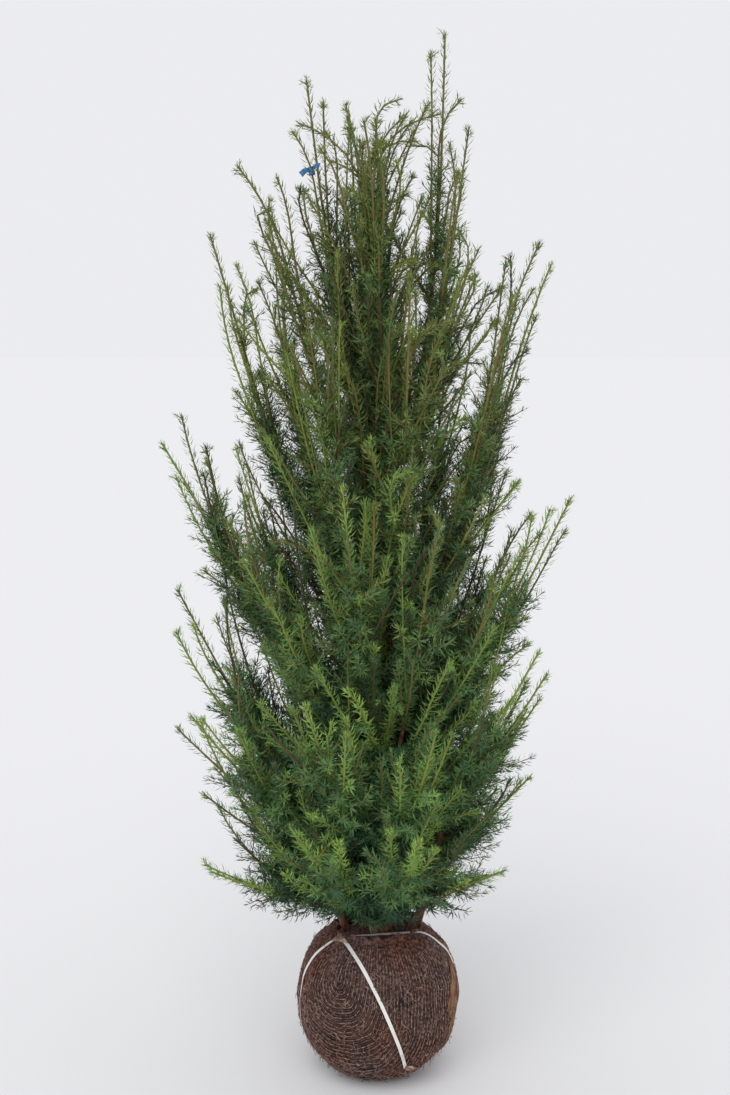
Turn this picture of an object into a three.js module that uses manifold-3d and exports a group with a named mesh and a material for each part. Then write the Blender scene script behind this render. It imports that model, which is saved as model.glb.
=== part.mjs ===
// A young upright yew, dug from the field and sold with its root ball wrapped in jute cloth.
// Millimetres, +Z up, the front towards -Y. The origin is the middle of the ball's flat underside.
import * as THREE from "three";
import { mergeVertices } from "three/addons/utils/BufferGeometryUtils.js";
import Module from "manifold-3d";

const wasm = await Module();
wasm.setup();

// ---- Driving sizes ----

const GAP = 0.4; // clear space between two solids that touch in life

const BALL_TOP = 250; // the flat earth inside the gathered cloth, where the stems come out

// Wrapped root ball: half profile from the underside's middle to the top's middle, radius and height.
const BALL_PROFILE = [
  [0, 0],
  [70, 0],
  [98, 13],
  [121, 46],
  [134, 92],
  [137, 140],
  [132, 184],
  [116, 220],
  [92, 242],
  [74, 254],
  [60, BALL_TOP],
  [0, BALL_TOP],
];
const BALL_SIDES = 18;
const BALL_LUMP = 0.035; // how far the clay bulges, as a share of the radius

// White tape tied round the ball, each loop in one plane through three points of its run.
const TAPE_WIDTH = 8;
const TAPE_THICKNESS = 1.2;
const TAPE_OFF_FLOOR = 2; // the tape stops this far above the floor
const TAPE_SIDE = { plane: [[-58, -40, 250], [-134, -40, 130], [136, -14, 130]], rise: GAP };
const TAPE_FRONT = { plane: [[-58, -52, 246], [22, -136, 130], [56, -108, 20]], rise: 2.2 };

// Trunk: the reddish main stem, standing in the ball's top and ending at its fork.
const TRUNK_PATH = [
  [0, 0, BALL_TOP - 15],
  [-4, 4, 330],
  [8, 6, 500],
  [13, 2, 640],
  [7, 6, 860],
  [14, 2, 1040],
  [20, 0, 1200],
];
const TRUNK_FOOT_RADIUS = 17;
const TRUNK_TIP_RADIUS = 6.5;
const FLARE_RADIUS = 10; // extra radius of the root flare at the cut
const FLARE_HEIGHT = 45;

// Two lesser stems rise from the same root beside the trunk and end inside the foliage.
const STEMS = {
  stem_left: { path: [[-52, -8, BALL_TOP - 12], [-78, -22, 330], [-94, -30, 430]], radii: [8, 5] },
  stem_right: { path: [[60, -4, BALL_TOP - 12], [84, -20, 330], [108, -34, 440]], radii: [10, 6] },
};

// Foliage masses, called plumes: each is an upright spray of shoots round one ascending bough.
// A row holds the azimuth in degrees (0 is right, 90 is back, 270 is front), the tip's reach from
// the trunk and its height, the foot's reach and height, and the half width of the spray.
const PLUMES = {
  skirt: [
    [2, 258, 524, 46, 330, 48],
    [46, 250, 480, 46, 322, 50],
    [92, 262, 500, 44, 318, 50],
    [136, 268, 470, 44, 324, 50],
    [166, 292, 520, 46, 326, 46],
    [196, 292, 384, 54, 308, 34],
    [240, 258, 500, 48, 314, 50],
    [284, 248, 470, 44, 312, 50],
    [334, 216, 386, 50, 318, 38],
  ],
  lower: [
    [10, 284, 650, 42, 396, 58],
    [52, 276, 716, 38, 400, 60],
    [92, 282, 690, 38, 384, 60],
    [132, 296, 740, 38, 398, 60],
    [176, 334, 850, 42, 408, 54],
    [204, 330, 668, 42, 392, 56],
    [246, 270, 716, 42, 396, 60],
    [290, 252, 668, 40, 388, 60],
    [334, 276, 775, 40, 402, 56],
  ],
  middle: [
    [356, 314, 1012, 56, 560, 48],
    [34, 266, 1040, 38, 556, 60],
    [74, 256, 1070, 38, 540, 60],
    [112, 262, 1030, 38, 560, 60],
    [150, 286, 1080, 38, 546, 58],
    [184, 346, 1106, 60, 590, 40],
    [220, 270, 930, 40, 548, 60],
    [256, 232, 1050, 40, 560, 58],
    [292, 226, 1000, 40, 540, 58],
    [326, 262, 950, 40, 552, 60],
  ],
  upper: [
    [4, 266, 1400, 56, 770, 48],
    [50, 204, 1380, 50, 740, 56],
    [104, 200, 1420, 50, 760, 56],
    [146, 214, 1380, 52, 750, 56],
    [178, 268, 1441, 58, 780, 46],
    [234, 186, 1330, 52, 740, 56],
    [288, 150, 1370, 50, 760, 56],
    [336, 242, 1434, 56, 780, 48],
  ],
  crown: [
    [6, 102, 1757, 44, 1160, 42],
    [112, 92, 1674, 44, 1130, 42],
    [172, 114, 1686, 46, 1160, 40],
    [190, 192, 1560, 60, 1060, 38],
    [262, 84, 1620, 42, 1120, 42],
    [330, 156, 1600, 48, 1110, 40],
  ],
};

// How far a plume's line bows down and out from the straight, as a share of its length.
const PLUME_BOW = { skirt: 0.1, lower: 0.12, middle: 0.07, upper: 0.06, crown: 0.05 };
const WIDEST_AT = 0.36; // a spray is widest at this share of its length
const SWELL_LENGTH = 0.27; // and swells over about this share on either side
const SHOOT_HALF_WIDTH = 14; // needles stand this far out round one leading shoot
const PLUME_SIDES = 6;
const PLUME_RINGS = 6;

// Side shoots that stand out of a plume: where each leaves the plume's line, as a share of its
// length, how far it turns round the trunk, and its tip's reach and height against the plume's own.
const SIDE_SHOOTS = [
  { leaves: 0.34, turn: 13, reach: 1.02, height: 0.86 },
  { leaves: 0.42, turn: -12, reach: 0.84, height: 0.94 },
];
const SIDE_SHOOT_HALF_WIDTH = 15;
const SIDE_SHOOT_SIDES = 4;
const SIDE_SHOOT_RINGS = 3;

// Boughs show between the trunk and these plumes' feet.
const BOUGHS = {
  skirt: [0, 6],
  lower: [4],
  middle: [0, 5, 7],
  upper: [0, 4, 5, 6],
  crown: [0, 2],
};
const BOUGH_FOOT_RADIUS = { skirt: 7, lower: 7, middle: 7, upper: 6, crown: 5.5 };
const BOUGH_TAPER = 0.7; // a bough's end radius against its foot's
const BOUGH_DROP = { skirt: 26, lower: 50, middle: 60, upper: 60, crown: 50 };
const LOWEST_BOUGH = BALL_TOP + 20;
const BOUGH_KNEE = 0.55; // share of its way at which a bough turns up
const BOUGH_SAG = 6; // a bough leaves the trunk a little flatter than it goes on
const BOUGH_IN_PLUME = 30; // a bough is drawn this far into its plume, then cut where it enters

// ---- Colours ----

const finish = (color, roughness) => new THREE.MeshStandardMaterial({ color, roughness, metalness: 0 });
const JUTE = finish(0x4a342c, 0.95);
const TAPE = finish(0xe9e6df, 0.5);
const BARK = finish(0x6f4230, 0.9);
const NEEDLES = {
  skirt: finish(0x2c5230, 0.7),
  lower: finish(0x2f5733, 0.7),
  middle: finish(0x355f36, 0.7),
  upper: finish(0x44693a, 0.7),
  crown: finish(0x55753d, 0.7),
};

// ---- Solids ----

// A three.js geometry as a manifold solid, with the vertices that it shares merged.
function solidOf(geometry) {
  const bare = new THREE.BufferGeometry().setAttribute("position", geometry.getAttribute("position"));
  if (geometry.index) bare.setIndex(geometry.index);
  const merged = mergeVertices(bare, 1e-3);
  return new wasm.Manifold(
    new wasm.Mesh({
      numProp: 3,
      vertProperties: new Float32Array(merged.attributes.position.array),
      triVerts: new Uint32Array(merged.index.array),
    }),
  );
}

// A manifold solid as a three.js geometry.
function geometryOf(solid) {
  const mesh = solid.getMesh();
  const geometry = new THREE.BufferGeometry();
  geometry.setAttribute("position", new THREE.BufferAttribute(new Float32Array(mesh.vertProperties), 3));
  geometry.setIndex(new THREE.BufferAttribute(new Uint32Array(mesh.triVerts), 1));
  return geometry;
}

// The largest piece of a solid that a cut has split.
function largest(solid) {
  return solid.decompose().reduce((a, b) => (a.volume() > b.volume() ? a : b));
}

// Bends a closed round geometry that stands along Y from -1 to 1 on to a curve.
// radius(t, angle) gives its half width at the share t of the curve's length.
function bend(geometry, shareOf, curve, radius) {
  const place = geometry.getAttribute("position");
  const vertex = new THREE.Vector3();
  const side = new THREE.Vector3();
  const up = new THREE.Vector3();
  for (let i = 0; i < place.count; i++) {
    vertex.fromBufferAttribute(place, i);
    const across = Math.hypot(vertex.x, vertex.z);
    const angle = Math.atan2(vertex.z, vertex.x);
    const t = shareOf(vertex.y);
    const tangent = curve.getTangentAt(t);
    side.crossVectors(tangent, new THREE.Vector3(0, 1, 0)).normalize();
    up.crossVectors(side, tangent);
    const out = across > 1e-6 ? radius(t, angle) : 0;
    vertex.copy(curve.getPointAt(t));
    vertex.addScaledVector(side, out * Math.cos(angle)).addScaledVector(up, out * Math.sin(angle));
    place.setXYZ(i, vertex.x, vertex.y, vertex.z);
  }
  return solidOf(geometry);
}

// A tapering limb with flat ends.
function limb(curve, sides, rings, radius) {
  const rod = new THREE.CylinderGeometry(1, 1, 2, sides, rings);
  return bend(rod, (y) => (y + 1) / 2, curve, radius);
}

// A spindle with pointed ends, its rings evenly spaced.
function spindle(curve, sides, rings, radius) {
  const ball = new THREE.SphereGeometry(1, sides, rings);
  return bend(ball, (y) => 1 - Math.acos(THREE.MathUtils.clamp(y, -1, 1)) / Math.PI, curve, radius);
}

const vector = (point) => new THREE.Vector3(...point);

// The point at an azimuth in degrees, a reach from the trunk's line and a height.
function polar(azimuth, reach, height) {
  const angle = THREE.MathUtils.degToRad(azimuth);
  return new THREE.Vector3(reach * Math.cos(angle), reach * Math.sin(angle), height);
}

// ---- Root ball and its tape ----

const AROUND_BALL = 800; // a cutting box this wide takes in the whole ball

// The wrapped ball, lumpy all round, with its skin moved out by grow.
function ball(grow) {
  const profile = BALL_PROFILE.map(([r, z], i) => {
    const [r0, z0] = BALL_PROFILE[Math.max(i - 1, 0)];
    const [r1, z1] = BALL_PROFILE[Math.min(i + 1, BALL_PROFILE.length - 1)];
    const out = new THREE.Vector2(z1 - z0, r0 - r1).normalize().multiplyScalar(grow);
    return new THREE.Vector2(r ? r + out.x : 0, z + out.y);
  });
  const lathe = new THREE.LatheGeometry(profile, BALL_SIDES);
  lathe.rotateX(Math.PI / 2); // the lathe turns about Y
  const place = lathe.getAttribute("position");
  for (let i = 0; i < place.count; i++) {
    const [x, y, z] = [place.getX(i), place.getY(i), place.getZ(i)];
    const angle = Math.atan2(y, x);
    const lump = Math.sin(2 * angle + 0.9 + z / 150) * 0.6 + Math.sin(3 * angle - z / 60) * 0.4;
    const scale = 1 + BALL_LUMP * lump;
    place.setXYZ(i, x * scale, y * scale, z);
  }
  return solidOf(lathe);
}

// A thin slab as wide as the tape, in the plane through three points.
function slab(corners) {
  const [a, b, c] = corners.map(vector);
  const normal = b.clone().sub(a).cross(c.clone().sub(a)).normalize();
  const box = new THREE.BoxGeometry(AROUND_BALL, AROUND_BALL, TAPE_WIDTH);
  box.applyQuaternion(new THREE.Quaternion().setFromUnitVectors(new THREE.Vector3(0, 0, 1), normal));
  box.translate(a.x, a.y, a.z);
  return solidOf(box);
}

// One loop of tape: the shell at its rise above the cloth, where the slab crosses it over the floor.
function tape({ plane, rise }) {
  const band = ball(rise + TAPE_THICKNESS).subtract(ball(rise)).intersect(slab(plane));
  const overFloor = new THREE.BoxGeometry(AROUND_BALL, AROUND_BALL, AROUND_BALL);
  overFloor.translate(0, 0, AROUND_BALL / 2 + TAPE_OFF_FLOOR);
  return largest(band.intersect(solidOf(overFloor)));
}

// ---- Trunk and stems ----

const trunkCurve = new THREE.CatmullRomCurve3(TRUNK_PATH.map(vector));
const trunkLength = trunkCurve.getLength();

// The trunk tapers evenly to its fork and flares into five low ribs at the cut.
function trunk(grow) {
  return limb(trunkCurve, 8, 8, (t, angle) => {
    const taper = THREE.MathUtils.lerp(TRUNK_FOOT_RADIUS, TRUNK_TIP_RADIUS, t);
    const flare = FLARE_RADIUS * Math.exp(-(t * trunkLength) / FLARE_HEIGHT);
    return taper + flare * (1 + 0.35 * Math.cos(5 * angle)) + grow;
  });
}

function stem({ path, radii }, grow) {
  const curve = new THREE.CatmullRomCurve3(path.map(vector));
  return limb(curve, 6, 3, (t) => THREE.MathUtils.lerp(...radii, t) + grow);
}

// The trunk's middle at a height.
function trunkAt(height) {
  const low = trunkCurve.getPoint(0).z;
  const high = trunkCurve.getPoint(1).z;
  return trunkCurve.getPointAt(THREE.MathUtils.clamp((height - low) / (high - low), 0, 1));
}

// ---- Plumes and boughs ----

// A line from foot to tip that bows down and out from the straight.
function bowed(foot, tip, bow) {
  const run = tip.clone().sub(foot);
  const outward = new THREE.Vector3(run.x, run.y, 0).normalize();
  const across = outward.multiplyScalar(run.z).setZ(-Math.hypot(run.x, run.y)).normalize();
  const middle = foot.clone().lerp(tip, 0.5).addScaledVector(across, bow * run.length());
  return new THREE.QuadraticBezierCurve3(foot, middle, tip);
}

// The line of a plume's leading shoot.
function plumeLine(tier, index) {
  const [azimuth, reach, height, footReach, footHeight] = PLUMES[tier][index];
  const foot = trunkAt(footHeight).add(polar(azimuth, footReach, 0)).setZ(footHeight);
  return bowed(foot, polar(azimuth, reach, height), PLUME_BOW[tier]);
}

// The spray round a plume's leading shoot, widest a third of the way up and uneven all round.
function leadingSpray(tier, index, grow) {
  const halfWidth = PLUMES[tier][index][5];
  const turn = index * 2.4; // puts the lumps somewhere else on each plume
  return spindle(plumeLine(tier, index), PLUME_SIDES, PLUME_RINGS, (t, angle) => {
    const swell = Math.exp(-(((t - WIDEST_AT) / SWELL_LENGTH) ** 2));
    const uneven = 1 + 0.2 * Math.sin(2 * angle + 7 * t + turn) + 0.12 * Math.sin(3 * angle - 11 * t + turn);
    return (SHOOT_HALF_WIDTH + (halfWidth - SHOOT_HALF_WIDTH) * swell) * uneven + grow;
  });
}

// One side shoot, which leaves the leading shoot and stands out of the spray.
function sideShoot(tier, index, shoot, grow) {
  const [azimuth, reach, height, , footHeight] = PLUMES[tier][index];
  const turn = index % 2 ? -shoot.turn : shoot.turn;
  const tipHeight = THREE.MathUtils.lerp(footHeight, height, shoot.height);
  const start = plumeLine(tier, index).getPointAt(shoot.leaves);
  const line = bowed(start, polar(azimuth + turn, reach * shoot.reach, tipHeight), PLUME_BOW[tier]);
  return spindle(line, SIDE_SHOOT_SIDES, SIDE_SHOOT_RINGS, (t, angle) => {
    return SIDE_SHOOT_HALF_WIDTH * (1 + 0.15 * Math.sin(2 * angle + 5 * t + index)) + grow;
  });
}

// A whole plume in one solid.
function plume(tier, index, grow) {
  return SIDE_SHOOTS.reduce(
    (whole, shoot) => whole.add(sideShoot(tier, index, shoot, grow)),
    leadingSpray(tier, index, grow),
  );
}

// The bough that carries a plume, from inside the trunk to a little way up the plume's line.
function bough(tier, index, grow) {
  const line = plumeLine(tier, index);
  const foot = line.getPoint(0);
  const start = trunkAt(Math.max(foot.z - BOUGH_DROP[tier], LOWEST_BOUGH));
  const knee = start.clone().lerp(foot, BOUGH_KNEE);
  knee.z -= BOUGH_SAG;
  const inside = line.getPointAt(BOUGH_IN_PLUME / line.getLength());
  const radius = BOUGH_FOOT_RADIUS[tier];
  return limb(new THREE.CatmullRomCurve3([start, knee, foot, inside]), 6, 3, (t) => {
    return THREE.MathUtils.lerp(radius, radius * BOUGH_TAPER, t) + grow;
  });
}

// ---- The whole plant ----

const plant = new THREE.Group();

function addNode(name, solid, material) {
  const mesh = new THREE.Mesh(geometryOf(solid), material);
  mesh.name = name;
  plant.add(mesh);
}

addNode("root_ball", ball(0), JUTE);
addNode("tape_side", tape(TAPE_SIDE), TAPE);
addNode("tape_front", tape(TAPE_FRONT), TAPE);

// Every solid from here on is cut by those made before it, each grown by the gap.
const taken = [ball(GAP)];

function addCut(name, make, material) {
  const solid = taken.reduce((left, earlier) => left.subtract(earlier), make(0));
  addNode(name, largest(solid), material);
  taken.push(make(GAP));
}

addCut("trunk", trunk, BARK);
for (const [name, shape] of Object.entries(STEMS)) {
  addCut(name, (grow) => stem(shape, grow), BARK);
}
for (const tier of Object.keys(PLUMES)) {
  PLUMES[tier].forEach((row, index) => {
    addCut(`${tier}_plume_${index + 1}`, (grow) => plume(tier, index, grow), NEEDLES[tier]);
  });
}
// A bough comes after the plumes, so that it ends where it enters one.
for (const tier of Object.keys(BOUGHS)) {
  for (const index of BOUGHS[tier]) {
    addCut(`${tier}_bough_${index + 1}`, (grow) => bough(tier, index, grow), BARK);
  }
}

export default plant;
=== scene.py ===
# A young upright yew on its root ball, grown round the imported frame. Metres, Z up, the front towards -Y.
import math

import bpy
import numpy as np
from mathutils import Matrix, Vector, noise
from mathutils.bvhtree import BVHTree


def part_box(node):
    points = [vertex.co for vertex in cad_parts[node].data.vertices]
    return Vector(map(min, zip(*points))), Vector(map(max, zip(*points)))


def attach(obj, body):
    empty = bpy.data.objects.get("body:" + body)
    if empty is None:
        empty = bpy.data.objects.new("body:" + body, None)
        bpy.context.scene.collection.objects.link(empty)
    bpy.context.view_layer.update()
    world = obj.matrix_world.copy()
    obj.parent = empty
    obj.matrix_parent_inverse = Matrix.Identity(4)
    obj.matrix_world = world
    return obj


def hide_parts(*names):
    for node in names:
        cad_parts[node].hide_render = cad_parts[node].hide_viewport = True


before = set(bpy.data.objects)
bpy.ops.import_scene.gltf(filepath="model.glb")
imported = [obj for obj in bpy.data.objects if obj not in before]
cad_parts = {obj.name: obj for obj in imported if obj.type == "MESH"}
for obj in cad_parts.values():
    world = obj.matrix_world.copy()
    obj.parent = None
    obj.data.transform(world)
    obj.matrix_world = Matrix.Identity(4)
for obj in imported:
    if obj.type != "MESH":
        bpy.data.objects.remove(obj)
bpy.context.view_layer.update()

# ---- The room ----
# A pale floor that runs off into a pale room, under one large soft lamp high on the left and
# an even light from all round. The camera stands in front at the height of a person's chest.
FLOOR_HALF = 60.0
FLOOR_COLOUR = (0.779, 0.779, 0.784)
ROOM_COLOUR = (0.838, 0.840, 0.866)
ROOM_STRENGTH = 1.0
CAMERA_PLACE = (-0.023, -2.53, 1.291)
CAMERA_DOWN = 8.3
CAMERA_LENS = 50
CAMERA_SENSOR = 36
SUN_PLACE = (-0.7, -2.7, 3.0)
SUN_STRENGTH = 1.1
SUN_ANGLE = 50

scene = bpy.context.scene
scene.view_settings.view_transform = "Standard"


def shown(name, data):
    thing = bpy.data.objects.new(name, data)
    scene.collection.objects.link(thing)
    return thing


camera = shown("camera", bpy.data.cameras.new("camera"))
camera.data.lens = CAMERA_LENS
camera.data.sensor_width = CAMERA_SENSOR
camera.location = CAMERA_PLACE
camera.rotation_euler = (math.radians(90 - CAMERA_DOWN), 0, 0)
scene.camera = camera

lamp = shown("soft_lamp", bpy.data.lights.new("soft_lamp", "SUN"))
lamp.data.energy = SUN_STRENGTH
lamp.data.angle = math.radians(SUN_ANGLE)
lamp.rotation_euler = Vector(SUN_PLACE).to_track_quat("Z", "Y").to_euler()

scene.world = bpy.data.worlds.new("room")
scene.world.use_nodes = True
room_light = scene.world.node_tree.nodes["Background"]
room_light.inputs["Color"].default_value = (*ROOM_COLOUR, 1)
room_light.inputs["Strength"].default_value = ROOM_STRENGTH


def plain_material(name, colour, roughness, specular=0.5):
    """A material of one even colour, ready for nodes that vary it."""
    material = bpy.data.materials.new(name)
    material.use_nodes = True
    shader = material.node_tree.nodes["Principled BSDF"]
    shader.inputs["Base Color"].default_value = (*colour, 1)
    shader.inputs["Roughness"].default_value = roughness
    shader.inputs["Specular IOR Level"].default_value = specular
    return material


floor_mesh = bpy.data.meshes.new("floor")
corners = [(x * FLOOR_HALF, y * FLOOR_HALF, 0) for x, y in ((-1, -1), (1, -1), (1, 1), (-1, 1))]
floor_mesh.from_pydata(corners, [], [(0, 1, 2, 3)])
floor_mesh.materials.append(plain_material("floor_paint", FLOOR_COLOUR, 1.0, 0.0))
floor = shown("floor", floor_mesh)

# ---- Root ball: the clay under its jute cloth ----
# The ball of field clay that the roots hold, cut round by spade, so it bulges unevenly. Its cloth is
# drawn tight over it and stands on a small flat underside. Between the yarns the cloth is near black:
# partly the wet clay's stain and partly painted shade of the gaps between the yarns.
BALL_AROUND = 128
BALL_UP = 64
BALL_SMOOTHING = 5
DENT_SIZE = 0.055
DENT_DEPTH = 0.0048
ROUNDED_TO = 0.075
ROUNDED_BY = 0.22
ROUNDED_CURVE = 1.6
BALL_CLEAR = 0.0008
USUAL_REACH = 0.12
RELIEF_DEPTH = 0.002
STAIN_SHARES = (0.48, 0.68, 0.8)
# The cloth's ground between the yarns: its near-black is partly the wet clay's stain, partly painted shade in
# the gaps.
DARK_JUTE_GAP_SHADE = (0.022, 0.013, 0.012)
RED_JUTE = (0.085, 0.046, 0.034)


def cad_shape(node):
    """A CAD node's corners, each one once, and its faces."""
    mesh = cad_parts[node].data
    rounded = np.round([vertex.co[:] for vertex in mesh.vertices], 5)
    points, index = np.unique(rounded, axis=0, return_inverse=True)
    index = index.reshape(-1)
    faces = [[int(index[i]) for i in face.vertices] for face in mesh.polygons]
    return points, [face for face in faces if len(set(face)) > 2]


def piece_from(name, points, faces, material, smooth=True):
    mesh = bpy.data.meshes.new(name)
    mesh.from_pydata([tuple(p) for p in points], [], faces)
    mesh.materials.append(material)
    if smooth:
        mesh.shade_smooth()
    return shown(name, mesh)


def mottled(material, dark, light, scale, detail=6.0, low=0.35, high=0.65, bump=0.4, stretch=(1, 1, 1),
            stain=None):
    """Two colours in cloudy patches, with a bump that follows them, and wide stains over both. A stain
    is its colour and its scale."""
    add, link = material.node_tree.nodes.new, material.node_tree.links.new
    shader = material.node_tree.nodes["Principled BSDF"]
    place = add("ShaderNodeTexCoord")
    turn = add("ShaderNodeMapping")
    turn.inputs["Scale"].default_value = stretch
    link(place.outputs["Object"], turn.inputs["Vector"])
    patches = add("ShaderNodeTexNoise")
    patches.inputs["Scale"].default_value = scale
    patches.inputs["Detail"].default_value = detail
    link(turn.outputs["Vector"], patches.inputs["Vector"])
    ramp = add("ShaderNodeValToRGB")
    for stop, position, colour in zip(ramp.color_ramp.elements, (low, high), (dark, light)):
        stop.position = position
        stop.color = (*colour, 1)
    link(patches.outputs["Fac"], ramp.inputs["Fac"])
    painted = ramp.outputs["Color"]
    if stain:
        wide = add("ShaderNodeTexNoise")
        wide.inputs["Scale"].default_value = stain[1]
        link(place.outputs["Object"], wide.inputs["Vector"])
        share = add("ShaderNodeMapRange")
        for label, value in zip(("From Min", "From Max", "To Max"), STAIN_SHARES):
            share.inputs[label].default_value = value
        link(wide.outputs["Fac"], share.inputs["Value"])
        mix = add("ShaderNodeMix")
        mix.data_type, mix.blend_type = "RGBA", "MULTIPLY"
        link(share.outputs["Result"], mix.inputs["Factor"])
        link(painted, mix.inputs[6])
        mix.inputs[7].default_value = (*stain[0], 1)
        painted = mix.outputs[2]
    link(painted, shader.inputs["Base Color"])
    relief = add("ShaderNodeBump")
    relief.inputs["Strength"].default_value = bump
    relief.inputs["Distance"].default_value = RELIEF_DEPTH
    link(patches.outputs["Fac"], relief.inputs["Height"])
    link(relief.outputs["Normal"], shader.inputs["Normal"])
    return material


ball_low, ball_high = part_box("root_ball")
ball_middle = Vector((0, 0, (ball_low.z + ball_high.z) / 2))
ball_solid = BVHTree.FromPolygons(*cad_shape("root_ball"))


def ball_directions():
    """Unit directions from the ball's middle, one row for each step up, poles included."""
    tilt = np.linspace(-math.pi / 2, math.pi / 2, BALL_UP + 1)[:, None]
    turn = np.linspace(0, 2 * math.pi, BALL_AROUND, endpoint=False)[None, :]
    level = np.cos(tilt)
    return np.stack([level * np.cos(turn), level * np.sin(turn), np.sin(tilt) + 0 * turn], axis=2)


directions = ball_directions()
reach = np.array([[ball_solid.ray_cast(ball_middle, Vector(way))[3] or USUAL_REACH for way in row]
                  for row in directions])
for _ in range(BALL_SMOOTHING):
    beside = (np.roll(reach, 1, axis=1) + np.roll(reach, -1, axis=1)) / 2
    up = (np.vstack([reach[:1], reach[:-1]]) + np.vstack([reach[1:], reach[-1:]])) / 2
    reach = (reach + beside + up) / 3
reach[0] = reach[0].mean()
reach[-1] = reach[-1].mean()
ball_skin = directions * reach[:, :, None] + np.array(ball_middle)
for i in range(BALL_UP + 1):
    for j in range(BALL_AROUND):
        under = max(1 - ball_skin[i, j, 2] / ROUNDED_TO, 0)
        ball_skin[i, j, :2] *= 1 - ROUNDED_BY * under**ROUNDED_CURVE
        dent = noise.noise(Vector(ball_skin[i, j]) / DENT_SIZE)
        ball_skin[i, j] += directions[i, j] * DENT_DEPTH * dent * math.cos(math.pi * (i / BALL_UP - 0.5))
ball_skin[:, :, 2] = np.maximum(ball_skin[:, :, 2], BALL_CLEAR)


def closed_grid(rows, around):
    """Quads between rows of points, where each row closes on itself."""
    faces = []
    for i in range(rows - 1):
        for j in range(around):
            k = (j + 1) % around
            faces.append((i * around + j, i * around + k, (i + 1) * around + k, (i + 1) * around + j))
    return faces


def ball_grid():
    """The skin's points, with one point at each pole, and its faces."""
    inner = ball_skin[1:-1].reshape(-1, 3)
    points = np.vstack([inner, ball_skin[0, :1], ball_skin[-1, :1]])
    bottom, top = len(points) - 2, len(points) - 1
    faces = closed_grid(BALL_UP - 1, BALL_AROUND)
    last = (BALL_UP - 2) * BALL_AROUND
    for j in range(BALL_AROUND):
        k = (j + 1) % BALL_AROUND
        faces += [(bottom, k, j), (top, last + j, last + k)]
    return points, faces


skin_points, skin_faces = ball_grid()
skin = BVHTree.FromPolygons([tuple(p) for p in skin_points], skin_faces)
# The cloth's dark ground is partly the wet clay's stain, partly painted shade between the yarns.
cloth_material = mottled(plain_material("wet_jute_gap_shade", DARK_JUTE_GAP_SHADE, 0.95, 0.15), DARK_JUTE_GAP_SHADE, RED_JUTE, 26, bump=0.8)
ball_piece = piece_from("ball_cloth", skin_points, skin_faces, cloth_material)
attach(ball_piece, "root")
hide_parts("root_ball")

# ---- Root ball: the yarns of the cloth ----
# Spun jute yarns, by turns a coarse and a thin one, a few millimetres apart. The cloth is gathered up
# to a knot at the front left, so under the knot they hang in nested loops, and round the other sides
# they run straight up to the neck.
YARN_GAP = 0.0060
YARN_RADIUS = 0.0012
THIN_RADIUS = 0.0009
YARN_STEP = 0.0050
YARN_RISE = 0.0015
THIN_RISE = 0.0008
YARN_WANDER = 0.0090
YARN_CLEAR = 0.0041
LEAST_POINTS = 8
LOOP_SIDE = math.radians(238)
LOOP_TOP = 0.200
LOOP_DEPTH = 1.3
GIRTH = 0.13
YARN_COLOUR = (0.072, 0.042, 0.037)
YARN_LIGHT = (0.350, 0.232, 0.200)
THIN_COLOUR = (0.052, 0.031, 0.027)
THIN_LIGHT = (0.205, 0.130, 0.112)
YARN_STAIN = (1.0, 0.66, 0.48)
YARN_STAIN_SCALE = 13


def level_lines(points, faces, field, levels):
    """The lines along which a field on a surface takes each of the levels, as lists of points."""
    triangles = np.array([(f[0], f[i], f[i + 1]) for f in faces for i in range(1, len(f) - 1)])
    low, high = field[triangles].min(axis=1), field[triangles].max(axis=1)
    lines = []
    for level in levels:
        links = {}
        for triangle in triangles[(low < level) & (high > level)]:
            ends = []
            for a, b in ((0, 1), (1, 2), (2, 0)):
                a, b = sorted((triangle[a], triangle[b]))
                if (field[a] - level) * (field[b] - level) < 0:
                    ends.append((a, b))
            if len(ends) == 2:
                links.setdefault(ends[0], []).append(ends[1])
                links.setdefault(ends[1], []).append(ends[0])
        left = set(links)
        while left:
            start = min(left, key=lambda edge: (len(links[edge]), edge))
            chain, edge = [], start
            while edge is not None:
                left.discard(edge)
                chain.append(edge)
                edge = next((e for e in links[edge] if e in left), None)
            closed = len(chain) > 3 and chain[0] in links[chain[-1]]
            line = []
            for a, b in chain:
                share = (level - field[a]) / (field[b] - field[a])
                line.append(points[a] + (points[b] - points[a]) * share)
            lines.append((np.array(line), closed))
    return lines


def line_mesh(name, lines, **values):
    """A mesh of edges that follow lines, with one number at each point under each given name."""
    points = np.vstack([line for line, _ in lines])
    edges, first = [], 0
    for line, closed in lines:
        edges += [(first + i, first + i + 1) for i in range(len(line) - 1)]
        if closed:
            edges.append((first + len(line) - 1, first))
        first += len(line)
    mesh = bpy.data.meshes.new(name)
    mesh.from_pydata([tuple(p) for p in points], edges, [])
    for key, numbers in values.items():
        mesh.attributes.new(key, "FLOAT", "POINT").data.foreach_set("value", np.concatenate(numbers))
    return mesh


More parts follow.
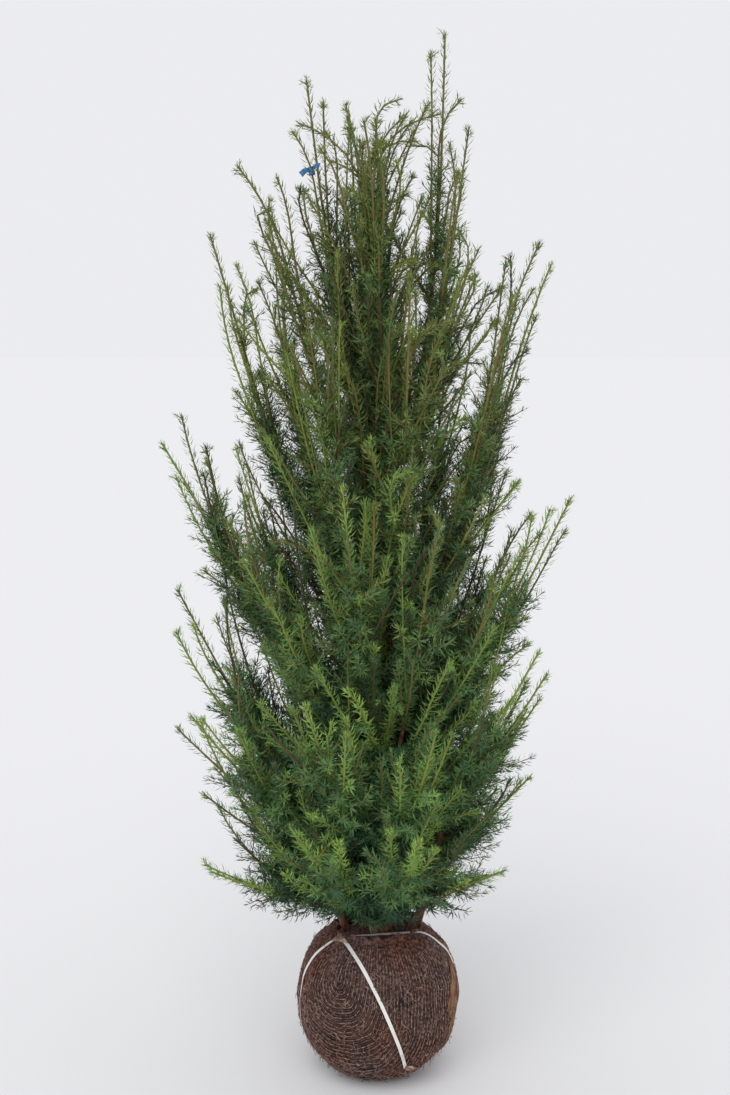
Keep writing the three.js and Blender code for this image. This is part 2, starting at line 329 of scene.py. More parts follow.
def node_tree(name, sizes):
    """A Geometry Nodes tree with geometry in and out and a named input for each size. It returns the
    tree, its inputs, a function that adds a node, with values or sockets for the node's inputs, and a
    function that paints the geometry and sends it out."""
    tree = bpy.data.node_groups.new(name, "GeometryNodeTree")
    tree.interface.new_socket("Geometry", in_out="INPUT", socket_type="NodeSocketGeometry")
    tree.interface.new_socket("Geometry", in_out="OUTPUT", socket_type="NodeSocketGeometry")
    for label in sizes:
        tree.interface.new_socket(label, in_out="INPUT", socket_type="NodeSocketFloat")
    tree.interface.new_socket("Material", in_out="INPUT", socket_type="NodeSocketMaterial")
    given = tree.nodes.new("NodeGroupInput")

    def add(kind, inputs=None, **settings):
        node = tree.nodes.new(kind)
        for key, value in settings.items():
            setattr(node, key, value)
        for key, value in (inputs or {}).items():
            if isinstance(value, bpy.types.Node):
                value = value.outputs[0]
            if isinstance(value, bpy.types.NodeSocket):
                tree.links.new(value, node.inputs[key])
            else:
                node.inputs[key].default_value = value
        return node

    def finish(geometry):
        real = add("GeometryNodeRealizeInstances", {0: geometry})
        painted = add("GeometryNodeSetMaterial", {"Geometry": real, "Material": given.outputs["Material"]})
        tree.links.new(painted.outputs[0], add("NodeGroupOutput").inputs[0])

    return tree, given.outputs, add, finish


def grown(name, mesh, tree, material, sizes):
    """The piece that a tree makes from a mesh, as a plain mesh."""
    piece = shown(name, mesh)
    rule = piece.modifiers.new("rule", "NODES")
    rule.node_group = tree
    names = {item.name: item.identifier for item in tree.interface.items_tree if item.in_out == "INPUT"}
    rule[names["Material"]] = material
    for label, value in sizes.items():
        rule[names[label]] = value
    graph = bpy.context.evaluated_depsgraph_get()
    result = bpy.data.meshes.new_from_object(piece.evaluated_get(graph), depsgraph=graph)
    piece.modifiers.clear()
    piece.data = result
    result.name = name
    return piece


def math_node(add, operation, *values):
    return add("ShaderNodeMath", dict(enumerate(values)), operation=operation)


def yarn_tree():
    """Round yarns along lines, whose thickness and way wander."""
    tree, size, add, finish = node_tree("spun_yarn", ["Radius", "Step", "Wander"])
    curve = add("GeometryNodeMeshToCurve", {"Mesh": size["Geometry"]})
    even = add("GeometryNodeResampleCurve", {"Curve": curve, "Length": size["Step"]}, mode="LENGTH")
    sway = add("ShaderNodeTexNoise", {"Scale": 32.0, "Detail": 2.0})
    swayed = {0: sway.outputs["Color"], 1: (0.5, 0.5, 0.5)}
    centred = add("ShaderNodeVectorMath", swayed, operation="SUBTRACT")
    offset = add("ShaderNodeVectorMath", {0: centred, "Scale": size["Wander"]}, operation="SCALE")
    moved = add("GeometryNodeSetPosition", {"Geometry": even, "Offset": offset})
    lumps = add("ShaderNodeTexNoise", {"Scale": 240.0, "Detail": 1.0})
    thick = math_node(add, "MULTIPLY_ADD", lumps, 2.0, 0.0)
    radius = math_node(add, "MULTIPLY", thick, size["Radius"])
    ring = add("GeometryNodeCurvePrimitiveCircle", {"Resolution": 4, "Radius": 1.0})
    tube = add("GeometryNodeCurveToMesh", {"Curve": moved, "Profile Curve": ring, "Scale": radius})
    finish(add("GeometryNodeSetShadeSmooth", {0: tube}))
    return tree


def loop_rank(points):
    """How many yarns a point lies from the middle of the loops: round below it and straight above."""
    turn = np.arctan2(points[:, 1], points[:, 0]) - LOOP_SIDE
    turn = (turn + math.pi) % (2 * math.pi) - math.pi
    aside = np.abs(turn) * GIRTH
    below = np.maximum(LOOP_TOP - points[:, 2], 0) / LOOP_DEPTH
    power = np.where(turn > 0, 3.0, 2.0)
    return (aside**power + below**power) ** (1 / power) / YARN_GAP


def lifted(line, rise):
    """A line moved out from the skin by a rise, and kept off the floor."""
    moved = []
    for point in line:
        place, normal, _, _ = skin.find_nearest(Vector(point))
        outward = normal if normal.dot(place - ball_middle) > 0 else -normal
        moved.append(place + outward * rise)
    moved = np.array(moved)
    moved[:, 2] = np.maximum(moved[:, 2], YARN_CLEAR)
    return moved


ranks = loop_rank(skin_points)
spun_yarn = yarn_tree()
YARN_SETS = (
    ("cloth_yarns", 0.6, YARN_RADIUS, YARN_RISE, YARN_COLOUR, YARN_LIGHT),
    ("cloth_thin_yarns", 1.1, THIN_RADIUS, THIN_RISE, THIN_COLOUR, THIN_LIGHT),
)
for name, first, radius, rise, dark, light in YARN_SETS:
    lines = level_lines(skin_points, skin_faces, ranks, np.arange(first, ranks.max(), 1.0))
    yarns = [(lifted(line, rise), closed) for line, closed in lines if len(line) >= LEAST_POINTS]
    jute = plain_material(name + "_jute", dark, 0.95, 0.1)
    mottled(jute, dark, light, 210, low=0.40, high=0.70, bump=1.0, stain=(YARN_STAIN, YARN_STAIN_SCALE))
    piece = grown(name, line_mesh(name, yarns), spun_yarn, jute,
                  {"Radius": radius, "Step": YARN_STEP, "Wander": YARN_WANDER})
    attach(piece, "root")
    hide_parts("root_ball")

# ---- Root ball: loose fibres, a worn patch and the gathered neck ----
# Fine fibres work loose from the yarns all over. Down the right edge an orange inner layer of cloth
# shows, and at the top both layers are gathered into folds round the stems.
FIBRE_COUNT = 2400
FIBRE_RADIUS = 0.00042
FIBRE_HEIGHTS = (0.01, 0.235)
FIBRE_LENGTHS = (0.005, 0.016)
FIBRE_LIFTS = (0.0005, 0.003)
FIBRE_CLEAR = 0.001
FIBRE_COLOUR = (0.43, 0.29, 0.21)
PATCH_TURNS = (-31, 6)
PATCH_HEIGHTS = (0.030, 0.226)
PATCH_RISE = 0.0030
PATCH_UP = 40
PATCH_ACROSS = 14
PATCH_WAVE = 0.0008
PATCH_DARK = (0.100, 0.048, 0.028)
PATCH_LIGHT = (0.300, 0.165, 0.095)
NECK_ROWS = ((0.0750, 0.2500), (0.0725, 0.2530), (0.0705, 0.2565), (0.0700, 0.2600), (0.0725, 0.2630))
NECK_AROUND = 160
NECK_FOLDS = 13
NECK_FOLD_DEPTH = 0.0011
NECK_EDGE_WAVE = 0.0022
luck = np.random.default_rng(12)


def unit(vector):
    return vector / max(np.linalg.norm(vector), 1e-9)


def skin_at(turn, height, rise):
    """The point of the ball's side at an angle and a height, a little off the skin."""
    way = Vector((math.cos(turn), math.sin(turn), 0))
    place, normal, _, _ = skin.ray_cast(Vector((0, 0, height)) + way * 0.4, -way)
    if place is None:
        return np.array((way * 0.05 + Vector((0, 0, height)))[:])
    outward = normal if normal.dot(way) > 0 else -normal
    return np.array((place + outward * rise)[:])


fibres = []
for _ in range(FIBRE_COUNT):
    start = skin_at(luck.uniform(0, 2 * math.pi), luck.uniform(*FIBRE_HEIGHTS), FIBRE_CLEAR)
    way = luck.normal(size=3)
    out = unit(start * np.array([1, 1, 0.2]))
    way = unit(way - out * (way @ out))
    length, lift = luck.uniform(*FIBRE_LENGTHS), luck.uniform(*FIBRE_LIFTS)
    middle_at = start + way * length * 0.5 + out * lift
    end = start + way * length + out * lift * luck.uniform(0, 1.2)
    fibre = np.array([start, middle_at, end])
    fibre[:, 2] = np.maximum(fibre[:, 2], FIBRE_CLEAR)
    fibres.append((fibre, False))
loose = plain_material("loose_jute", FIBRE_COLOUR, 0.95, 0.1)
mottled(loose, YARN_COLOUR, FIBRE_COLOUR, 40, bump=0.2)
piece = grown("cloth_fibres", line_mesh("cloth_fibres", fibres), spun_yarn, loose,
              {"Radius": FIBRE_RADIUS, "Step": 0.005, "Wander": 0.004})
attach(piece, "root")
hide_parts("root_ball")

patch_points, patch_faces = [], []
for height in np.linspace(*PATCH_HEIGHTS, PATCH_UP):
    part = (height - PATCH_HEIGHTS[0]) / (PATCH_HEIGHTS[1] - PATCH_HEIGHTS[0])
    opened = math.sin(math.pi * min(max(part, 0.01), 0.99)) ** 0.45
    left = PATCH_TURNS[0] * opened + 5 * noise.noise((height * 40, 3, 0))
    left += 2 * noise.noise((height * 160, 3, 0))
    right = PATCH_TURNS[1] * opened + 4 * noise.noise((height * 30, 8, 0))
    right += 2 * noise.noise((height * 160, 9, 0))
    for turn in np.linspace(min(left, right - 1), right, PATCH_ACROSS):
        rise = PATCH_RISE + PATCH_WAVE * noise.noise((turn / 3, height * 90, 1))
        patch_points.append(skin_at(math.radians(turn), height, rise))
for i in range(PATCH_UP - 1):
    for j in range(i * PATCH_ACROSS, i * PATCH_ACROSS + PATCH_ACROSS - 1):
        patch_faces.append((j, j + 1, j + PATCH_ACROSS + 1, j + PATCH_ACROSS))
inner_cloth = plain_material("inner_cloth", PATCH_LIGHT, 0.95, 0.1)
mottled(inner_cloth, PATCH_DARK, PATCH_LIGHT, 130, detail=4, low=0.38, high=0.62, bump=1.0,
        stretch=(1, 1, 0.35))
patch = piece_from("inner_cloth", patch_points, patch_faces, inner_cloth)
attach(patch, "root")
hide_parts("root_ball")

neck_points = []
for row, (far, height) in enumerate(NECK_ROWS):
    for j in range(NECK_AROUND):
        turn = 2 * math.pi * j / NECK_AROUND
        fold = math.sin(turn * NECK_FOLDS + 2 * noise.noise((math.cos(turn) * 2, math.sin(turn) * 2, 5)))
        fold += noise.noise((math.cos(turn) * 6, math.sin(turn) * 6, 2))
        wide = far + NECK_FOLD_DEPTH * row * fold
        rise = height + NECK_EDGE_WAVE * row * noise.noise((math.cos(turn) * 5, math.sin(turn) * 5, 9))
        neck_points.append((wide * math.cos(turn), wide * math.sin(turn), rise))
neck = piece_from("cloth_neck", neck_points, closed_grid(len(NECK_ROWS), NECK_AROUND), jute)
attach(neck, "root")
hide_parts("root_ball")

# ---- Tapes round the ball ----
# Two flat white plastic tapes hold the cloth, knotted at the front left of the neck. One goes round the
# left and right sides of the ball. The other shows down the back and from the knot down the front, where
# it ends in a frayed brown tuft. Both lie slack in places, so they turn a little on edge.
TAPE_WIDTH = 0.0066
TAPE_THICK = 0.0006
TAPE_RISE = 0.0038
TAPE_CLEAR = 0.0042
TAPE_FOOT = 0.046
KNOT_LOOPS = ((0.3, 0.0042), (1.9, 0.0048), (2.7, 0.0036))
KNOT_ENDS = ((2.9, 0.040, 0.004), (2.2, 0.024, 0.006), (-0.5, 0.016, 0.004))
KNOT_TOP = 0.238
KNOT_WIDTH = 0.005
END_WIDTHS = (0.0056, 0.0036)
FRAY_WIDTHS = (0.006, 0.003)
FRAYED_STRIPS = ((0.55, 0.020), (0.15, 0.014), (1.0, 0.012))
TAPE_WHITE = (0.80, 0.785, 0.75)
TAPE_SOILED = (0.50, 0.44, 0.37)
TAPE_STAIN = (0.17, 0.095, 0.055)
tape_white = plain_material("white_tape", TAPE_WHITE, 0.45, 0.4)
mottled(tape_white, TAPE_SOILED, TAPE_WHITE, 38, detail=5, low=0.22, high=0.46, bump=0.3)


def ribbon(line, outward, widths):
    """A thin flat strip along a line, facing outward, as points and faces."""
    along_line = np.gradient(line, axis=0)
    across = np.cross(along_line, outward)
    across /= np.linalg.norm(across, axis=1)[:, None]
    half = across * (np.asarray(widths) / 2)[:, None]
    rise = outward * TAPE_THICK / 2
    rows = [line - half - rise, line + half - rise, line + half + rise, line - half + rise]
    count = len(line)
    faces = [(4 * i + k, 4 * i + (k + 1) % 4, 4 * i + 4 + (k + 1) % 4, 4 * i + 4 + k)
             for i in range(count - 1) for k in range(4)]
    faces += [(3, 2, 1, 0), (4 * count - 4, 4 * count - 3, 4 * count - 2, 4 * count - 1)]
    return np.stack(rows, axis=1).reshape(-1, 3), faces


def tape_loop(node, seed):
    """The ribbon round the ball in the middle plane of a CAD tape, over the part that the tape covers."""
    points, _ = cad_shape(node)
    centre = points.mean(axis=0)
    plane = np.linalg.svd(points - centre)[2]
    normal = plane[2]
    first = unit(np.cross(normal, (0, 0, 1)))
    second = np.cross(normal, first)
    spread = np.arctan2((points - centre) @ second, (points - centre) @ first)
    line, outward, widths = [], [], []
    for turn in np.linspace(-math.pi, math.pi, 181):
        off = np.abs((spread - turn + math.pi) % (2 * math.pi) - math.pi)
        if off.min() > 0.3:
            continue
        way = first * math.cos(turn) + second * math.sin(turn)
        hit = skin.ray_cast(Vector(centre), Vector(way))[0]
        if hit is None:
            continue
        edge = 0.5 + 0.5 * noise.noise((turn * 1.7, seed, 0))
        line.append(np.array(hit) + way * (TAPE_RISE + 0.0006 * noise.noise((turn * 4, seed, 1))))
        tilt = 0.5 * noise.noise((turn * 1.3, seed, 2))
        outward.append(unit(way + normal * tilt))
        widths.append(TAPE_WIDTH * (0.72 + 0.4 * edge))
    line = np.array(line)
    line[:, 2] = np.maximum(line[:, 2], TAPE_CLEAR)
    return line, np.array(outward), np.array(widths)


def stretches(loop, kept):
    """The parts of a tape's loop where kept is true, each as its line, outward ways and widths."""
    line, outward, widths = loop
    ends = np.flatnonzero(np.diff(np.concatenate([[0], kept.astype(int), [0]])))
    return [(line[a:b], outward[a:b], widths[a:b]) for a, b in zip(ends[::2], ends[1::2]) if b - a > 3]


def joined(parts):
    """Parts that are each points and faces, as the points and faces of one mesh."""
    points, faces = [], []
    for some, between in parts:
        faces += [tuple(i + len(points) for i in face) for face in between]
        points += list(some)
    return points, faces


side_loop, front_loop = tape_loop("tape_side", 4.0), tape_loop("tape_front", 9.7)
side_line, front_line = side_loop[0], front_loop[0]
apart = np.linalg.norm(side_line[:, None, :] - front_line[None, :, :], axis=2)
apart[(side_line[:, 2] < 0.15) | (side_line[:, 1] > 0), :] = 1
knot_place = front_line[apart.min(axis=0).argmin()]
in_front = front_line[:, 1] < 0
down_the_front = in_front & (front_line[:, 2] > TAPE_FOOT) & (front_line[:, 0] > knot_place[0] - 0.001)
behind = front_line[:, 1] > 0.02
front_parts = stretches(front_loop, down_the_front | behind)
for node, parts in (("tape_side", [side_loop]), ("tape_front", front_parts)):
    points, faces = joined(ribbon(*part) for part in parts)
    tape = piece_from(node + "_ribbon", points, faces, tape_white, smooth=False)
    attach(tape, "root")
    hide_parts(node)

knot_out = unit(knot_place - np.array([0, 0, 0.12]))
knot_left = unit(np.cross(knot_out, (0.2, 0.4, 1.0)))
knot_down = np.cross(knot_left, knot_out)
knot_parts = []
for lean, radius in KNOT_LOOPS:
    turn = np.linspace(0, 5.6, 16)
    first = knot_left * math.cos(lean) + knot_down * math.sin(lean)
    outward = np.cos(turn)[:, None] * first + np.sin(turn)[:, None] * knot_out
    line = knot_place + knot_out * 0.002 + outward * radius * 0.8
    knot_parts.append(ribbon(line, outward, np.full(len(line), KNOT_WIDTH)))
for aim, length, curl in KNOT_ENDS:
    share = np.linspace(0, 1, 14)[:, None]
    way = knot_left * math.cos(aim) + knot_down * math.sin(aim)
    line = knot_place + way * length * share + knot_out * (0.003 + curl * np.sin(share * 7))
    on_skin = [skin_at(math.atan2(y, x), min(z, KNOT_TOP), 0.004 + curl * 0.4) for x, y, z in line]
    line = np.array(on_skin) * 0.5 + line * 0.5
    spin = share[:, 0] * 3 * length / 0.04
    outward = np.cos(spin)[:, None] * knot_out + np.sin(spin)[:, None] * np.cross(way, knot_out)
    knot_parts.append(ribbon(line, outward, np.linspace(*END_WIDTHS, len(line))))
tape_foot = front_line[np.where(down_the_front, front_line[:, 2], 9).argmin()]
for aim, length in FRAYED_STRIPS:
    share = np.linspace(0, 1, 8)[:, None]
    way = np.array([math.cos(aim), -0.25, 0.35 - 0.45 * aim])
    line = tape_foot + np.array([0, -0.0015, 0]) + unit(way) * length * share
    outward = np.tile(unit(np.cross(way, (0.2, 0.1, 1.0))), (len(line), 1))
    knot_parts.append(ribbon(line, outward, np.linspace(*FRAY_WIDTHS, len(line))))
tape_soiled = plain_material("soiled_tape", TAPE_SOILED, 0.6, 0.3)
mottled(tape_soiled, TAPE_STAIN, TAPE_SOILED, 90, detail=5, low=0.46, high=0.72, bump=0.4)
knot = piece_from("tape_knot", *joined(knot_parts), tape_soiled, smooth=False)
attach(knot, "root")
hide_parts("tape_front")

# ---- Trunk, stems and boughs ----
# Yew wood in thin reddish brown bark that flakes in long strips over a fluted stem. The trunk and two
# lesser stems stand in the ball, and a bough leaves them for each spray of foliage.
BARK_DARK = (0.060, 0.026, 0.018)
BARK_LIGHT = (0.27, 0.125, 0.075)
LIMB_STEP = 0.004
BOUGH_STEP = 0.007
BARK_RELIEF = 0.28
BARK_SWELL = 1.06
TOP_THINNED = 0.62
SLICES = {"trunk": 40, "stem_left": 14, "stem_right": 14}
LIMB_SIDES = {"trunk": 20, "stem_left": 12, "stem_right": 12}
BOUGH_SIDES = 8
BOUGH_END = 0.0026
TIERS = ("skirt", "lower", "middle", "upper", "crown")
BOUGH_DROP = {"skirt": 0.026, "lower": 0.05, "middle": 0.06, "upper": 0.06, "crown": 0.05}
PLUME_BOW = {"skirt": 0.1, "lower": 0.12, "middle": 0.07, "upper": 0.06, "crown": 0.05}
BOUGH_RADIUS = {"skirt": 0.0062, "lower": 0.0068, "middle": 0.0065, "upper": 0.0058, "crown": 0.005}


def limb_line(node, slices):
    """The middle line of an upright limb and its radius, from slices through its CAD solid."""
    points, faces = cad_shape(node)
    solid = BVHTree.FromPolygons([tuple(p) for p in points], faces)
    low, high = points[:, 2].min(), points[:, 2].max()
    middle = points[points[:, 2] < low + 0.02].mean(axis=0)
    line, radii = [], []
    for height in np.linspace(low + 0.002, high - 0.004, slices):
        centre = Vector((middle[0], middle[1], height))
        for _ in range(3):
            hits = []
            for turn in np.linspace(0, 2 * math.pi, 12, endpoint=False):
                hit = solid.ray_cast(centre, Vector((math.cos(turn), math.sin(turn), 0)))[0]
                if hit is not None:
                    hits.append(hit[:])
            if hits:
                centre = Vector(np.mean(hits, axis=0))
        middle = centre
        line.append(centre[:])
        radii.append(np.mean([(Vector(h) - centre).length for h in hits]) if hits else radii[-1])
    return np.array(line), np.array(radii)


stock_lines = {node: limb_line(node, slices) for node, slices in SLICES.items()}


def bezier(a, b, c, count):
    share = np.linspace(0, 1, count)[:, None]
    return (1 - share) ** 2 * a + 2 * share * (1 - share) * b + share**2 * c


def bowed_control(foot, tip, bow):
    """The control point of a line that bows down and out from the straight between foot and tip."""
    run = tip - foot
    level = math.hypot(run[0], run[1])
    across = unit(np.array([run[0] * run[2] / max(level, 1e-6), run[1] * run[2] / max(level, 1e-6), -level]))
    return (foot + tip) / 2 + across * bow * np.linalg.norm(run)


def plume_of(node, tier):
    """What grows from one mass: its leading shoot's ends, the tips that stand out of it and its surface."""
    points, faces = cad_shape(node)
    near = {i: set() for i in range(len(points))}
    for face in faces:
        for i in face:
            near[i].update(face)
    peaks = [i for i in near if all(points[j][2] <= points[i][2] for j in near[i])]
    tip = points[points[:, 2].argmax()]
    foot = points[np.linalg.norm(points - tip, axis=1).argmax()]
    half_way = foot[2] + 0.45 * (tip[2] - foot[2])
    tips = [points[i] for i in peaks if points[i][2] > half_way and np.linalg.norm(points[i] - tip) > 0.02]
    control = bowed_control(foot, tip, PLUME_BOW[tier])
    middles = np.array([points[face].mean(axis=0) for face in faces])
    return {"tier": tier, "foot": foot, "tip": tip, "tips": tips, "control": control,
            "points": np.vstack([points, middles])}


def plume_nodes(tier):
    return sorted(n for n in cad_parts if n.startswith(tier + "_plume_"))


plumes = [plume_of(node, tier) for tier in TIERS for node in plume_nodes(tier)]


def bough_of(plume):
    """The bough from the nearest stem to a plume's foot, in line with the plume's leading shoot."""
    foot = plume["foot"]
    start, best = None, 1e9
    for line, _ in stock_lines.values():
        rank = np.abs(line[:, 2] - (foot[2] - BOUGH_DROP[plume["tier"]])).argmin()
        away = np.linalg.norm(line[rank] - foot)
        if away < best:
            start, best = line[rank], away
    heading = unit(plume["control"] - foot)
    return bezier(start, foot - heading * best * 0.55, foot, 8)


def tube_along(add, size, sides, caps):
    """A tube along a mesh's lines, as thick at each point as the mesh says, and that thickness."""
    curve = add("GeometryNodeMeshToCurve", {"Mesh": size["Geometry"]})
    even = add("GeometryNodeResampleCurve", {"Curve": curve, "Length": size["Step"]}, mode="LENGTH")
    thick = add("GeometryNodeInputNamedAttribute", {"Name": "thick"}, data_type="FLOAT").outputs["Attribute"]
    ring = add("GeometryNodeCurvePrimitiveCircle", {"Resolution": sides, "Radius": 1.0})
    along = {"Curve": even, "Profile Curve": ring, "Scale": thick, "Fill Caps": caps}
    return add("GeometryNodeCurveToMesh", along), thick


def bark_tree():
    """Tubes along limbs, with flutes and flaking strips that run with the limb."""
    tree, size, add, finish = node_tree("flaking_bark", ["Step", "Relief", "Sides"])
    tube, thick = tube_along(add, size, size["Sides"], True)
    place = add("GeometryNodeInputPosition")
    drawn = add("ShaderNodeVectorMath", {0: place, 1: (1.0, 1.0, 0.16)}, operation="MULTIPLY")
    strips = add("ShaderNodeTexNoise", {"Vector": drawn, "Scale": 150.0, "Detail": 3.0})
    flutes = add("ShaderNodeTexNoise", {"Vector": drawn, "Scale": 45.0, "Detail": 0.0})
    flakes = math_node(add, "MULTIPLY_ADD", strips, 0.6, -0.3)
    both = math_node(add, "ADD", flakes, math_node(add, "SUBTRACT", flutes, 0.5))
    scaled = math_node(add, "MULTIPLY", both, math_node(add, "MULTIPLY", thick, size["Relief"]))
    normal = add("GeometryNodeInputNormal")
    push = add("ShaderNodeVectorMath", {0: normal, "Scale": scaled}, operation="SCALE")
    rough = add("GeometryNodeSetPosition", {"Geometry": tube, "Offset": push})
    finish(add("GeometryNodeSetShadeSmooth", {0: rough}))
    return tree


flaking_bark = bark_tree()
bark = plain_material("yew_bark", BARK_LIGHT, 0.85, 0.2)
mottled(bark, BARK_DARK, BARK_LIGHT, 130, detail=5, low=0.36, high=0.66, bump=0.9, stretch=(1, 1, 0.2))

for node, (line, radii) in stock_lines.items():
    thick = radii * BARK_SWELL * np.linspace(1, TOP_THINNED, len(line))
    piece = grown(node + "_bark", line_mesh(node, [(line, False)], thick=[thick]), flaking_bark, bark,
                  {"Step": LIMB_STEP, "Relief": BARK_RELIEF, "Sides": LIMB_SIDES[node]})
    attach(piece, "root")
    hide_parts(node)

for tier in TIERS:
    lines, thick = [], []
    for plume in plumes:
        if plume["tier"] != tier:
            continue
        bough = bough_of(plume)
        wood = bezier(plume["foot"], plume["control"], plume["tip"], 21)[1:9]
        line = np.vstack([bough, wood])
        lines.append((line, False))
        thick.append(np.linspace(BOUGH_RADIUS[tier], BOUGH_END, len(line)))
    piece = grown(tier + "_boughs", line_mesh(tier, lines, thick=thick), flaking_bark, bark,
                  {"Step": BOUGH_STEP, "Relief": BARK_RELIEF, "Sides": BOUGH_SIDES})
    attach(piece, "root")
    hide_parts(*sorted(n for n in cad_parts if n.startswith(tier + "_bough_")))

# ---- Shoots: how the yew branches ----
# Each plume has a leading shoot and side shoots to its other tips. Long shoots of the last two years
# rise from the boughs to fill the crown between them. All carry short leafy twigs low down, set round
# the shoot by the golden angle, and are bare of twigs towards the tip. Twigs are left out where they
# would cross the front of the trunk low down, but long shoots are not. Every draw is seeded.
GOLDEN = math.radians(137.508)
RISING_SHOOTS = (
    {"count": 180, "heights": (0.50, 1.52), "crowd": 1.3, "share": (0.72, 0.97), "spread": 1.0,
     "least": (0.22, 0.48), "fresh": 0.75, "rim": 0.3, "aside": 4, "leafy": 0.40},
    {"count": 430, "heights": (0.36, 1.42), "crowd": 1.3, "share": (0.12, 0.94), "spread": 0.6,
     "least": (0.11, 0.24), "fresh": 0.30, "rim": 0.0, "aside": 2, "leafy": 0.55},
    {"count": 76, "heights": (1.28, 1.67), "crowd": 1.0, "share": (0.10, 0.98), "spread": 0.8,
     "least": (0.16, 0.32), "fresh": 0.5, "rim": 0.0, "aside": 4, "leafy": 0.50},
)
LEADER_THICK = (0.0029, 0.0018)
SIDE_THICK = (0.0026, 0.0017)
RISING_THICK = (0.0024, 0.0016)
TWIG_THICK = (0.0011, 0.0007)
SMALL_TWIG_THICK = (0.0008, 0.0006)
BUD_THICK = (0.0010, 0.0007)
TWIG_NEEDLES, SMALL_TWIG_NEEDLES, BUD_NEEDLES = 0.95, 0.85, 0.52
THICKEST_TWIG = 0.0018
LOWEST_TWIG = 0.262
# Twigs whose tips lie below this height or inside this share of the crown's reach get the dark inner shades:
# partly older needles, partly painted shade.
SHADE_PAINTED_BELOW = 0.37
SHADED_INNER_SHARE = 0.62
TWIG_GAP = {"skirt": 0.0105, "lower": 0.0105, "middle": 0.011, "upper": 0.014, "crown": 0.018}
TWIG_REACH = {"skirt": 0.115, "lower": 0.115, "middle": 0.11, "upper": 0.085, "crown": 0.06}
NOD = {"skirt": 0.004, "lower": 0.008, "middle": 0.012, "upper": 0.024, "crown": 0.034}
LEADER_NEEDLES = {"skirt": 0.92, "lower": 0.90, "middle": 0.88, "upper": 0.86, "crown": 0.88}
POINT_GAP = 0.014
TRUNK_SHOWS = ((0.018, 0.630, 0.036, 0.050), (0.012, 0.760, 0.012, 0.030))
TRUNK_BACK = 0.03
LOOKED_DOWN = 0.265
CROWN_STEP = 0.03
CROWN_TURNS = 24
chance = np.random.default_rng(46)
shoots = []


def crown_reach():
    """How far the masses reach from the middle, for each step of height and each turn."""
    points = np.vstack([plume["points"] for plume in plumes])
    far, turn = np.hypot(points[:, 0], points[:, 1]), np.arctan2(points[:, 1], points[:, 0])
    low, rows = points[:, 2].min(), int(np.ptp(points[:, 2]) / CROWN_STEP) + 1
    table = np.zeros((rows, CROWN_TURNS))
    for i in range(rows):
        level = np.abs(points[:, 2] - low - i * CROWN_STEP) < 0.045
        for j in range(CROWN_TURNS):
            off = (turn - 2 * math.pi * j / CROWN_TURNS + math.pi) % (2 * math.pi) - math.pi
            some = far[level & (np.abs(off) < 0.35)]
            table[i, j] = some.max() if len(some) else 0.02
    return low, (table * 2 + np.roll(table, 1, axis=1) + np.roll(table, -1, axis=1)) / 4


crown_low, crown_table = crown_reach()


def share_of_reach(point):
    """Where a point is between the crown's middle, 0, and its outside, 1."""
    row = int(np.clip(round((point[2] - crown_low) / CROWN_STEP), 0, len(crown_table) - 1))
    column = round(math.atan2(point[1], point[0]) / (2 * math.pi) * CROWN_TURNS) % CROWN_TURNS
    return math.hypot(point[0], point[1]) / crown_table[row, column]


def add_shoot(tier, kind, line, thick, size):
    """Keeps one shoot. thick is its radius at foot and tip, and size its needles' share of full length."""
    count = len(line)
    radius = np.linspace(thick[0], thick[1], count)
    needle = size * np.clip(np.linspace(count * 0.5, 0.5, count), 0, 1)
    shoots.append({"tier": tier, "kind": kind, "line": line, "thick": radius, "size": needle})


def points_for(length):
    return max(4, int(length / POINT_GAP) + 1)


def around(heading, angle):
    first = unit(np.cross(heading, (0.31, 0.95, 0.05)))
    return first * math.cos(angle) + np.cross(heading, first) * math.sin(angle)


def nodding(line, way, amount):
    """A line whose last stretch hangs over to one side."""
    bend = np.clip(np.linspace(-2.2, 1, len(line)), 0, 1)[:, None] ** 2
    return line + bend * (way * amount - np.array([0, 0, amount * 0.45]))


def tip_buds(tier, kind, line):
    """Two or three very short shoots just under the tip of a long one."""
    heading = unit(line[-1] - line[-2])
    for rank in range(int(chance.integers(1, 4))):
        side = around(heading, rank * GOLDEN + chance.uniform(0, 6.28))
        foot = line[-1] - heading * chance.uniform(0.002, 0.016)
        tip = foot + unit(side * 0.9 + heading * 0.7) * chance.uniform(0.007, 0.016)
        add_shoot(tier, kind, bezier(foot, (foot + tip) / 2, tip, 3), BUD_THICK, BUD_NEEDLES)


def bares_trunk(some):
    """Whether shoots would cover a stretch of trunk that stays bare, as looked down at from in front."""
    points = np.vstack([shoot["line"] for shoot in some])
    for x, z, half_width, half_height in TRUNK_SHOWS:
        down = points[:, 2] + points[:, 1] * LOOKED_DOWN
        inside = (np.abs(points[:, 0] - x) < half_width) & (np.abs(down - z) < half_height)
        if (inside & (points[:, 1] < TRUNK_BACK)).any():
            return True
    return False


